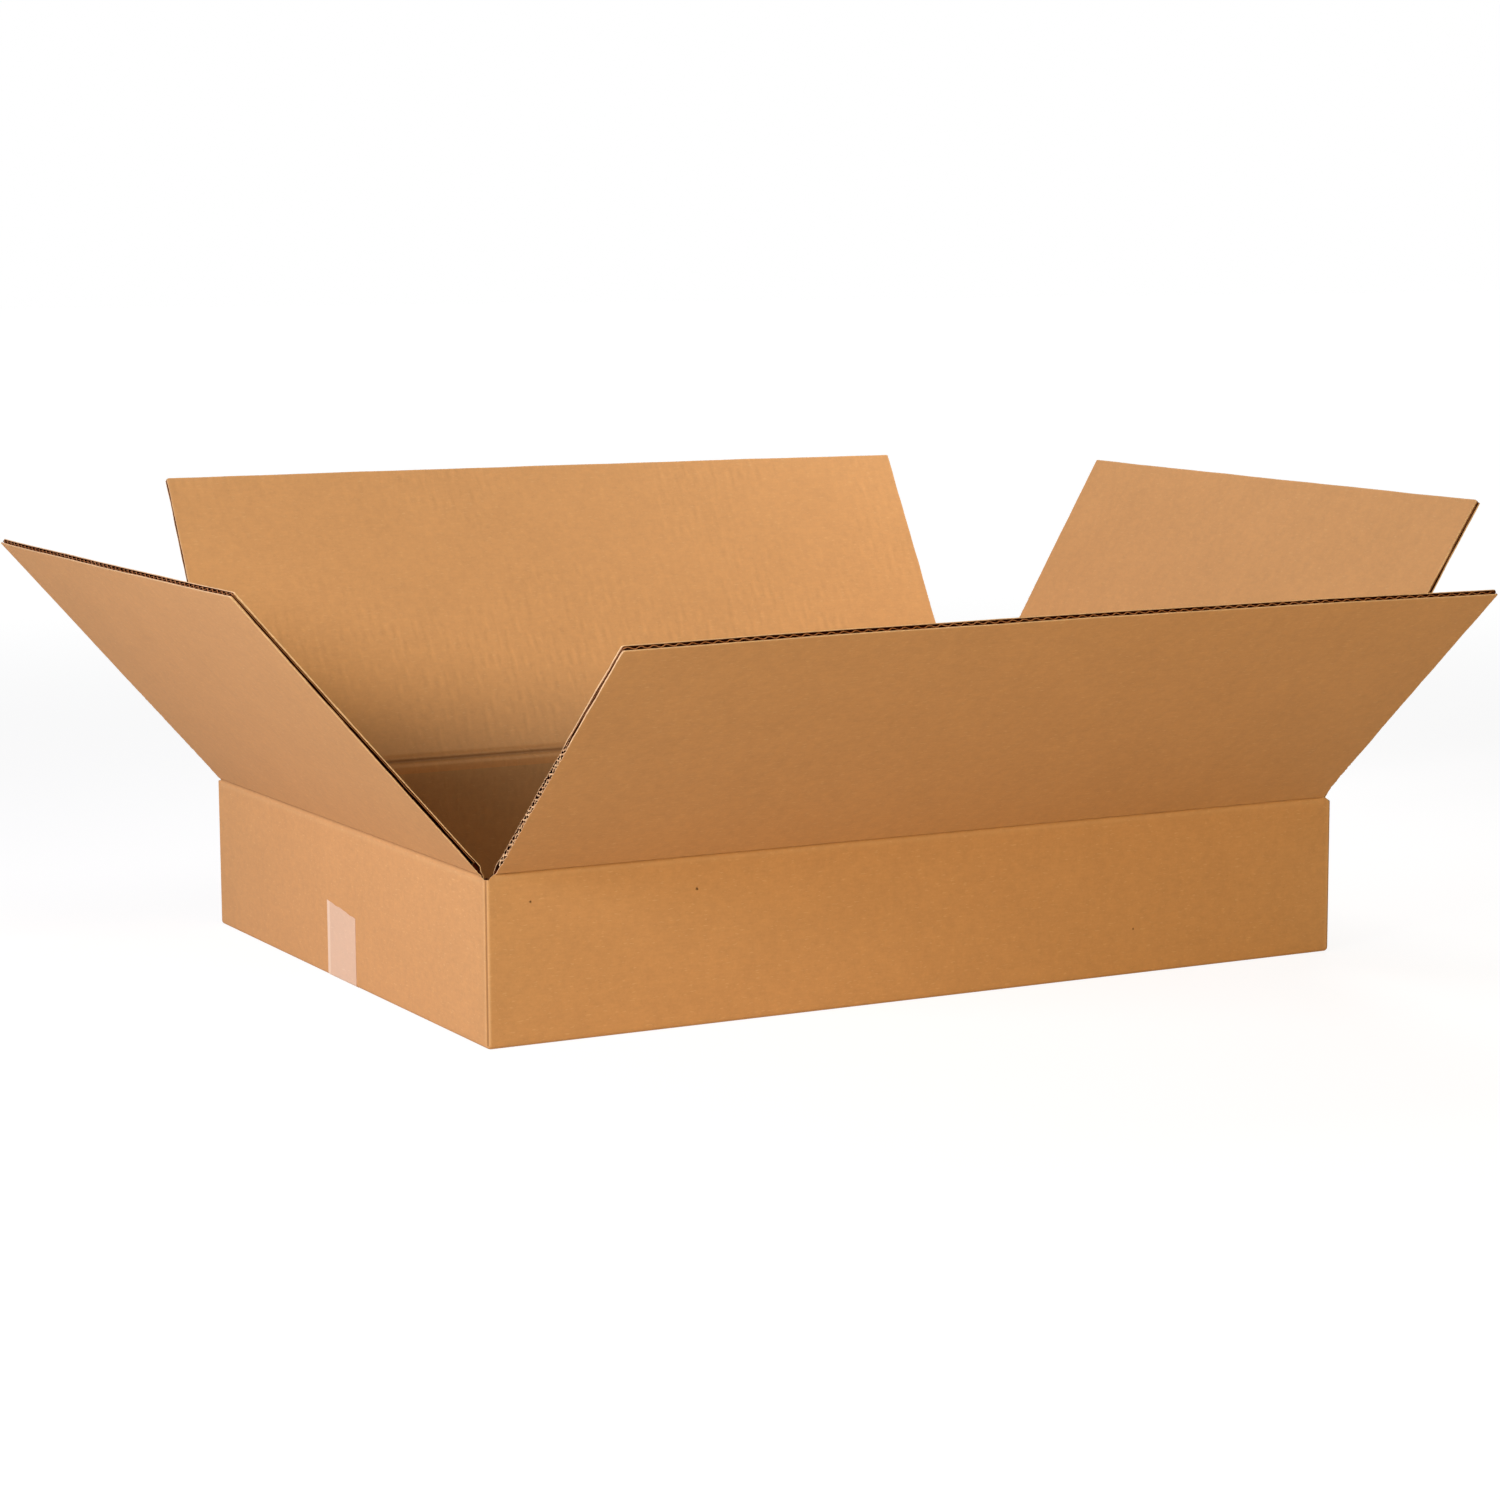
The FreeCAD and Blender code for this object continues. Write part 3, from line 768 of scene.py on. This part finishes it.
def make_glue_tab():
    """The right end wall's tab, glued flat inside the back wall, its ends cut back."""
    width = 35.0 * MM
    thickness = 3.2 * MM
    low, high = 14.0 * MM, 93.7 * MM
    slope = 7.0 * MM
    half_height = (high - low) / 2
    root = HALF_LENGTH - BOARD
    face = HALF_WIDTH - BOARD

    def place(u, v, w):
        u, v, w = np.broadcast_arrays(u, v, w)
        from_root = width / 2 - u
        squeeze = (half_height - slope * from_root / width) / half_height
        edge = smooth((from_root - (width - 4 * MM)) / (4 * MM))
        height = (low + high) / 2 + (v - half_height) * squeeze
        return np.stack([root - from_root, face + w * (1 - 0.25 * edge), height], -1)

    def flat(u, v, w):
        return np.stack(np.broadcast_arrays(u + TAB_ON_SHEET, v, w), -1)

    sheets = Sheets()
    rows = np.linspace(0, 2 * half_height, 12)
    add_board(sheets, place, flat, width / 2, rows, 0.0, 0.0, 90, crumbled=lambda side, v: 0.4 + 0 * v,
              thickness=thickness)
    settle(sheets.build("glue_tab", BOX_LOOKS), "box", "box_body")


# Tape
TAPE_FOLD = 1.8 * MM
TAPE_RISE_BACK = 51.0 * MM
TAPE_RISE_FRONT = 46.0 * MM
TAPE_THICKNESS = 0.25 * MM
TAPE_PALE_STRIP = 4.5 * MM  # where a painted highlight lies along the tape's edge


def tape_path(lift, top):
    """The tape's x and z, down the left end, round its fold, along the box and up the right end.

    lift is how far the line lies off the board, and top is the height of the tape's ends.
    """
    wall = HALF_LENGTH + lift
    floor = TAPE_BED - lift
    radius = TAPE_FOLD + lift
    rise = np.linspace(1, 0, 9)
    turn = np.linspace(0, math.pi / 2, 7)
    centre_x = wall - radius
    centre_z = floor + radius
    x_end = np.concatenate([np.full(9, -wall), -centre_x - radius * np.cos(turn[1:])])
    z_end = np.concatenate([centre_z + (top - centre_z) * rise, centre_z - radius * np.sin(turn[1:])])
    run = np.linspace(-centre_x, centre_x, 13)[1:-1]
    x = np.concatenate([x_end, run, -x_end[::-1]])
    z = np.concatenate([z_end, np.full(len(run), floor), z_end[::-1]])
    return x, z


def make_tape():
    """One strip of paper tape under the box and up both ends, torn off on a toothed blade at a slant."""
    half = TAPE_HIGH[1]
    columns = np.linspace(-half, half, 61)
    tooth = 1.6 * MM
    sheets = Sheets()
    skins = []
    for lift in (TAPE_THICKNESS, 0.0):
        rows = []
        for y in columns:
            slant = TAPE_RISE_FRONT + (TAPE_RISE_BACK - TAPE_RISE_FRONT) * (y + half) / (2 * half)
            teeth = abs((y / tooth) % 1 - 0.5) * 0.9 * MM
            step = 0.35 * MM * float(wander(np.array(y), 0.021, 8))
            x, z = tape_path(lift, slant - teeth + step - 0.5 * MM)
            rows.append(np.stack([x, np.full(len(x), y), z], -1))
        points = np.stack(rows)
        steps = np.linalg.norm(np.diff(points[len(columns) // 2], axis=0), axis=1)
        length = np.concatenate([[0], np.cumsum(steps)])
        flat = np.stack(np.broadcast_arrays(columns[:, None], length[None, :], lift), -1)
        # the tone there is a painted highlight
        tone = np.broadcast_to((0.5 * (columns > half - TAPE_PALE_STRIP))[:, None], points.shape[:2])
        skins.append(sheets.add_grid(points, flat, 0, tone))
    rims = [np.concatenate([skin[0], skin[1:, -1], skin[-1, -2::-1], skin[-2::-1, 0]]) for skin in skins]
    sheets.add_faces(np.stack(rims), 0)
    settle(sheets.build("tape_strip", [MATERIALS["tape"]]), "box", "sealing_tape")


# Materials
STREAK_PAINTED_SHADING = 0.65  # share that the painted light and shade of the streaks over the waves brightens or darkens the colour, for each millimetre of their relief
MATT = 0.85  # papers rougher than this have no gloss at all
GLOSS = 0.25  # and the others have this much
SMOOTH_SHEET = 541.0  # middle of the right end's part of the sheet, which shows no streaks, in millimetres
STREAKS_FROM = (230.0, 270.0)  # the streaks set in between these distances from it


class Graph:
    """Adds nodes to a material or a world and links them."""

    def __init__(self, owner):
        owner.use_nodes = True
        self.tree = owner.node_tree

    def add(self, kind, inputs=(), **settings):
        node = self.tree.nodes.new("ShaderNode" + kind)
        for name, value in settings.items():
            setattr(node, name, value)
        for name, value in dict(inputs).items():
            self.put(node.inputs[name], value)
        return node

    def put(self, socket, value):
        if isinstance(value, bpy.types.NodeSocket):
            self.tree.links.new(value, socket)
        else:
            socket.default_value = value

    def math(self, operation, first, second=0.0, third=0.0):
        node = self.add("Math", {0: first, 1: second, 2: third}, operation=operation)
        return node.outputs[0]

    def scaled(self, vector, factors):
        return self.add("VectorMath", {0: vector, 1: factors}, operation="MULTIPLY").outputs[0]

    def noise(self, vector, scale, detail=2.0, roughness=0.5):
        inputs = {"Vector": vector, "Scale": scale, "Detail": detail, "Roughness": roughness}
        return self.add("TexNoise", inputs).outputs["Fac"]

    def swing(self, value, amount):
        """Turns a noise value of about 0.5 into one of about 0 that swings by the amount."""
        return self.math("MULTIPLY", self.math("SUBTRACT", value, 0.5), 2 * amount)

    def mix(self, factor, first, second):
        """Mixes two colours, whose sockets have numbers because the node has their names more than once."""
        node = self.add("Mix", data_type="RGBA")
        self.put(node.inputs["Factor"], factor)
        self.put(node.inputs[6], first)
        self.put(node.inputs[7], second)
        return node.outputs[2]

    def ranged(self, value, low, high, start=0.0):
        """Turns a value of low or less into the start and one of high or more into 1."""
        inputs = {"Value": value, "From Min": low, "From Max": high, "To Min": start}
        return self.add("MapRange", inputs).outputs[0]

    def total(self, values):
        found = values[0]
        for value in values[1:]:
            found = self.math("ADD", found, value)
        return found


def make_paper(name, colour, dark, pale, shades, reliefs, rough, marks=()):
    """Kraft paper: clouds, fibres along the sheet, flecks, painted shading over the waves, and the tone's
    painted shade, painted highlights and scuffs.

    shades has the strength of the clouds and of the fibres. reliefs has the height, in millimetres, of the
    broken streaks over the waves and of the paper's own fibres. Each mark has its place and its size.
    """
    mottle, fibres = shades
    streak_relief, fibre_relief = reliefs
    material = bpy.data.materials.new(name)
    graph = Graph(material)
    shader = graph.tree.nodes["Principled BSDF"]
    sheet = graph.add("Attribute", attribute_name="sheet").outputs["Vector"]
    sheet = graph.scaled(sheet, (1 / MM, 1 / MM, 1 / MM))
    tone = graph.add("Attribute", attribute_name="tone").outputs["Fac"]
    clouds = graph.noise(sheet, 0.022, 3.0)
    patches = graph.noise(sheet, 0.16, 4.0, 0.6)
    across = graph.noise(graph.scaled(sheet, (0.13, 0.55, 1.0)), 1.0, 4.0, 0.7)
    grain = graph.noise(sheet, 0.5, 4.0, 0.75)
    shade = graph.total([1.0, graph.swing(clouds, mottle), graph.swing(patches, 2 * mottle),
                         graph.swing(across, fibres), graph.swing(grain, fibres)])
    streaks = None
    if streak_relief:
        run = graph.add("SeparateXYZ", {"Vector": sheet}).outputs["X"]
        drift = graph.swing(graph.noise(graph.scaled(sheet, (0.06, 0.045, 1.0)), 1.0, 2.0), 3.0)
        turns = graph.math("MULTIPLY", graph.math("ADD", run, drift), math.tau / (PITCH / MM))
        waves = graph.math("COSINE", turns)
        broken = graph.noise(graph.scaled(sheet, (0.13, 0.07, 1.0)), 1.0, 2.0)
        broken = graph.ranged(broken, 0.46, 0.62)
        regions = graph.ranged(graph.noise(sheet, 0.009, 1.0), 0.4, 0.6, 0.1)
        from_smooth = graph.math("ABSOLUTE", graph.math("SUBTRACT", run, SMOOTH_SHEET))
        rough_part = graph.ranged(from_smooth, *STREAKS_FROM)
        streaks = graph.math("MULTIPLY", waves, graph.math("MULTIPLY", broken, regions))
        streaks = graph.math("MULTIPLY", streaks, rough_part)
        # the streaks' painted light and shade, in step with their bumps
        shade = graph.math("ADD", shade, graph.math("MULTIPLY", streaks, STREAK_PAINTED_SHADING * streak_relief))
    base = graph.add("VectorMath", {0: colour[:3], "Scale": shade}, operation="SCALE").outputs[0]
    fleck_noise = graph.noise(graph.scaled(sheet, (0.75, 1.1, 1.0)), 1.0, 1.0)
    flecks = graph.math("MULTIPLY", graph.math("SUBTRACT", fleck_noise, 0.755), 12.0)
    flecks = graph.add("Clamp", {"Value": flecks, "Max": 0.22}).outputs[0]
    for place, size in marks:
        away = graph.add("VectorMath", {0: sheet, 1: place}, operation="DISTANCE").outputs["Value"]
        away = graph.math("ADD", away, graph.swing(grain, 1.2))
        spot = graph.ranged(away, size, 0.4 * size)
        flecks = graph.math("MAXIMUM", flecks, spot)
    base = graph.mix(flecks, base, dark)
    strokes = graph.noise(graph.scaled(sheet, (0.2, 0.8, 1.0)), 1.0, 1.0)
    strokes = graph.math("MULTIPLY", graph.math("SUBTRACT", strokes, 0.66), 4.0)
    base = graph.mix(graph.add("Clamp", {"Value": strokes, "Max": 0.25}).outputs[0], base, pale)
    # tone below 0 is painted shade; above 0 it is painted highlight or scuffed paper
    darker = graph.add("Clamp", {"Value": graph.math("MULTIPLY", tone, -1.0)}).outputs[0]
    paler = graph.add("Clamp", {"Value": tone}).outputs[0]
    base = graph.mix(darker, base, dark)
    base = graph.mix(paler, base, pale)
    graph.put(shader.inputs["Base Color"], base)
    graph.put(shader.inputs["Roughness"], graph.math("ADD", rough, graph.swing(patches, 0.08)))
    shader.inputs["Specular IOR Level"].default_value = 0.0 if rough > MATT else GLOSS
    relief = graph.total([graph.swing(across, fibre_relief), graph.swing(grain, 0.5 * fibre_relief),
                          graph.swing(patches, fibre_relief)])
    if streaks:
        relief = graph.math("ADD", relief, graph.math("MULTIPLY", streaks, streak_relief))
    bumped = graph.add("Bump", {"Strength": 1.0, "Distance": MM, "Height": relief})
    graph.put(shader.inputs["Normal"], bumped.outputs["Normal"])
    return material


# Colours of the papers
KRAFT = (0.585, 0.315, 0.125, 1.0)
KRAFT_INSIDE = (0.65, 0.355, 0.14, 1.0)
KRAFT_HOLD_SHADED = (0.565, 0.345, 0.153, 1.0)  # the inside paper again, greyer and darker inside the box as painted shade
# flecks and marks, and painted shade in creases and corners
KRAFT_DARK = (0.115, 0.05, 0.016, 1.0)
# pale fibres, scuffs beside cut edges, and painted highlights beside creases and corners
KRAFT_PALE = (0.80, 0.54, 0.27, 1.0)
CUT_PAPER = (0.82, 0.57, 0.32, 1.0)
CUT_DARK = (0.30, 0.09, 0.022, 1.0)  # flecks, and painted shade on the cut edges next to the open cells
# the middle sheet and the sheets' backs in the cells, darker than the faces as painted shade
WAVE_PAPER = (0.46, 0.20, 0.07, 1.0)
# dark paper of painted shade for hollows and hidden ends
CELL_PAPER = (0.09, 0.04, 0.015, 1.0)
CELL_DARK = (0.042, 0.005, 0.001, 1.0)  # painted shade deep in a cell, red as the light that bounced about there
TAPE_PAPER = (0.69, 0.475, 0.32, 1.0)
TAPE_PALE = (0.86, 0.70, 0.52, 1.0)

# Small dark marks on the front wall: place on the flat sheet and size, in millimetres
MARKS = (((-169.0, 85.0, 2.0), 1.3), ((-280.0, 87.0, 2.0), 1.0), ((150.0, 30.0, 2.0), 0.8))

INSIDE_SHADES = (0.05, 0.075)
INSIDE_RELIEFS = (0.085, 0.016)
MATERIALS = {
    "face": make_paper("kraft_face", KRAFT, KRAFT_DARK, KRAFT_PALE,
                       (0.055, 0.085), (0.006, 0.02), 0.82, MARKS),
    "inside": make_paper("kraft_inside", KRAFT_INSIDE, KRAFT_DARK, KRAFT_PALE,
                         INSIDE_SHADES, INSIDE_RELIEFS, 0.82),
    "hold": make_paper("kraft_hold", KRAFT_HOLD_SHADED, KRAFT_DARK, KRAFT_PALE,
                       INSIDE_SHADES, INSIDE_RELIEFS, 0.85),
    "cut": make_paper("kraft_cut_edge", CUT_PAPER, CUT_DARK, KRAFT_PALE, (0.12, 0.30), (0, 0.05), 0.9),
    # the middle sheet and the sheets' backs in the cells, darkened as painted shade
    "cell": make_paper("kraft_wave", WAVE_PAPER, CELL_DARK, KRAFT_PALE, (0.10, 0.15), (0, 0.02), 0.9),
    # painted shade: the dark paper in hollows and at hidden ends
    "deep": make_paper("kraft_deep", CELL_PAPER, CELL_DARK, WAVE_PAPER, (0.10, 0.15), (0, 0.02), 0.9),
    "tape": make_paper("paper_tape", TAPE_PAPER, KRAFT_DARK, TAPE_PALE, (0.03, 0.04), (0, 0.006), 0.5),
}
BOARD_LOOKS = [MATERIALS[look] for look in ("face", "inside", "cut", "cell", "deep")]
BOX_LOOKS = [MATERIALS[look] for look in ("face", "hold", "cut", "cell", "deep")]


# Floor, world, lamps and camera
FLOOR_COLOUR = (0.80, 0.78, 0.75, 1)  # the floor's colour as it lights the box
FLOOR_SHOWN = 0.22  # how much light the shown floor throws back
FLOOR_GLOW = 0.88  # and how much it gives off near the box, rising to 1 far away
FLOOR_NEAR = 0.9
FLOOR_FAR = 3.0
FLOOR_SIZE = 30.0  # half the side of its square
FLOOR_DROP = 0.2 * MM  # keeps the floor just clear of the box's underside
WORLD_LIGHT = (0.75, 0.92, 1.0, 1.0)
WORLD_STRENGTH = 0.05

# Lamps: place, the point they face, size, watts and colour
LAMPS = {
    "key": ((-1.98, -1.05, 0.98), (0, 0, 0.12), 0.6, 17.0, (0.9, 1, 1)),
    "side": ((-2.21, -0.39, 0.98), (0, 0, 0.12), 0.6, 27.3, (1, 0.87, 1)),
    "front": ((0, -2.34, 0.64), (0, 0, 0.12), 0.3, 20.4, (1, 0.75, 0.4)),
    "right": ((0.6, 0.23, 0.85), (0.2, 0.25, 0.2), 0.4, 4.2, (1, 0.95, 0.98)),
}


def seen_directly(graph):
    """1 for rays that show the background: from the camera, in gloss and through glass."""
    path = graph.add("LightPath").outputs
    seen = graph.math("MAXIMUM", path["Is Camera Ray"], path["Is Glossy Ray"])
    return graph.math("MAXIMUM", seen, path["Is Transmission Ray"])


def make_floor():
    """A pale floor that looks white away from the box and keeps its shadow."""
    mesh = bpy.data.meshes.new("floor")
    corners = [(-FLOOR_SIZE, -FLOOR_SIZE, 0), (FLOOR_SIZE, -FLOOR_SIZE, 0),
               (FLOOR_SIZE, FLOOR_SIZE, 0), (-FLOOR_SIZE, FLOOR_SIZE, 0)]
    mesh.from_pydata(corners, [], [(0, 1, 2, 3)])
    floor = bpy.data.objects.new("floor", mesh)
    floor.location.z = -FLOOR_DROP
    bpy.context.scene.collection.objects.link(floor)
    material = bpy.data.materials.new("pale_floor")
    graph = Graph(material)
    graph.tree.nodes.clear()
    plain = graph.add("BsdfDiffuse", {"Color": FLOOR_COLOUR})
    shown = graph.add("BsdfDiffuse", {"Color": (FLOOR_SHOWN, FLOOR_SHOWN, FLOOR_SHOWN, 1)})
    place = graph.add("NewGeometry").outputs["Position"]
    away = graph.add("VectorMath", {0: place}, operation="LENGTH").outputs["Value"]
    fade = {"Value": away, "From Min": FLOOR_NEAR, "From Max": FLOOR_FAR, "To Min": FLOOR_GLOW}
    fade = graph.add("MapRange", fade, interpolation_type="SMOOTHSTEP")
    glow = graph.add("Emission", {"Strength": fade.outputs[0]})
    both = graph.add("AddShader", {0: shown.outputs[0], 1: glow.outputs[0]})
    mixed = graph.add("MixShader", {"Fac": seen_directly(graph), 1: plain.outputs[0], 2: both.outputs[0]})
    graph.add("OutputMaterial", {"Surface": mixed.outputs[0]})
    mesh.materials.append(material)


def make_lamps():
    for name, (place, aim, size, watts, colour) in LAMPS.items():
        data = bpy.data.lights.new(name + "_lamp", "AREA")
        data.shape = "DISK"
        data.size = size
        data.energy = watts
        data.color = colour
        made = bpy.data.objects.new(name + "_lamp", data)
        made.location = place
        facing = Vector(aim) - Vector(place)
        made.rotation_euler = facing.to_track_quat("-Z", "Y").to_euler()
        bpy.context.scene.collection.objects.link(made)


def make_world():
    """Soft light all round, and a white background."""
    world = bpy.data.worlds.new("studio")
    bpy.context.scene.world = world
    graph = Graph(world)
    graph.tree.nodes.clear()
    light = graph.add("Background", {"Color": WORLD_LIGHT, "Strength": WORLD_STRENGTH})
    white = graph.add("Background", {"Color": (1, 1, 1, 1)})
    mixed = graph.add("MixShader", {"Fac": seen_directly(graph), 1: light.outputs[0], 2: white.outputs[0]})
    graph.add("OutputWorld", {"Surface": mixed.outputs[0]})


def make_camera():
    """The photograph's camera, turned by yaw, pitch and roll from a look along +Y."""
    yaw, pitch, roll = (math.radians(angle) for angle in (CAMERA_YAW, CAMERA_PITCH, CAMERA_ROLL))
    ahead = Vector((math.sin(yaw) * math.cos(pitch), math.cos(yaw) * math.cos(pitch), -math.sin(pitch)))
    level = Vector((math.cos(yaw), -math.sin(yaw), 0))
    above = level.cross(ahead)
    right = level * math.cos(roll) + above * math.sin(roll)
    top = above * math.cos(roll) - level * math.sin(roll)
    data = bpy.data.cameras.new("camera")
    data.sensor_width = SENSOR_WIDTH
    data.lens = SENSOR_WIDTH * FOCAL_SHARE
    camera = bpy.data.objects.new("camera", data)
    bpy.context.scene.collection.objects.link(camera)
    turned = Matrix((right, top, -ahead)).transposed().to_4x4()
    camera.matrix_world = Matrix.Translation(CAMERA_PLACE) @ turned
    bpy.context.scene.camera = camera


make_camera()
make_world()
make_lamps()
make_floor()
make_walls()
make_bottom()
make_glue_tab()
for number, each_wall in enumerate(WALLS):
    make_flap(each_wall, 20 + 10 * number)
    make_crease(each_wall)
make_tape()
bpy.context.scene.view_settings.view_transform = "Standard"
